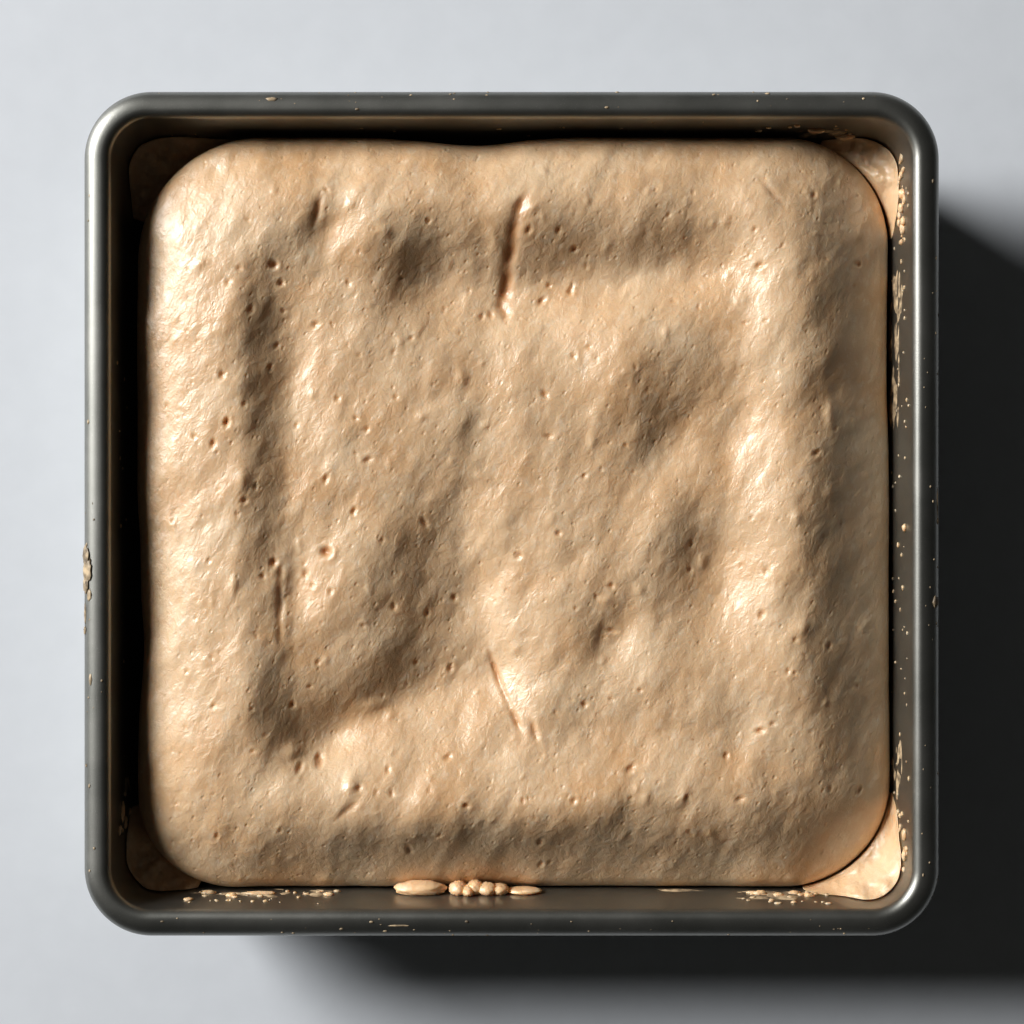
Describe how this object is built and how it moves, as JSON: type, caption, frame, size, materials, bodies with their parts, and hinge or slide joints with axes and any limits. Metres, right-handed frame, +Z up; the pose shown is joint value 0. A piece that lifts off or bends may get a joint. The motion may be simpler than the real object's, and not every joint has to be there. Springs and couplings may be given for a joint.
{
  "type": "proofed sourdough focaccia dough in a square baking pan",
  "caption": "Risen, finger-dimpled focaccia dough, unbaked, domed inside a square dark non-stick pan with a rolled rim.",
  "frame": {"origin": "centre of the pan's flat underside", "axes": "+Z up out of the pan, +X and +Y along its sides; the rim is 3 mm longer along X than along Y"},
  "size_m": [0.243, 0.24, 0.051],
  "materials": {
    "coated_steel": "satin dark grey non-stick coating on steel",
    "dough": "moist raw dough with a soft wet sheen"
  },
  "bodies": {
    "root": {"pan": "coated_steel", "dough": "dough", "scrap_back_right": "dough", "scrap_front_right": "dough", "scrap_front_left": "dough", "scrap_back_left": "dough"}
  },
  "joints": []
}
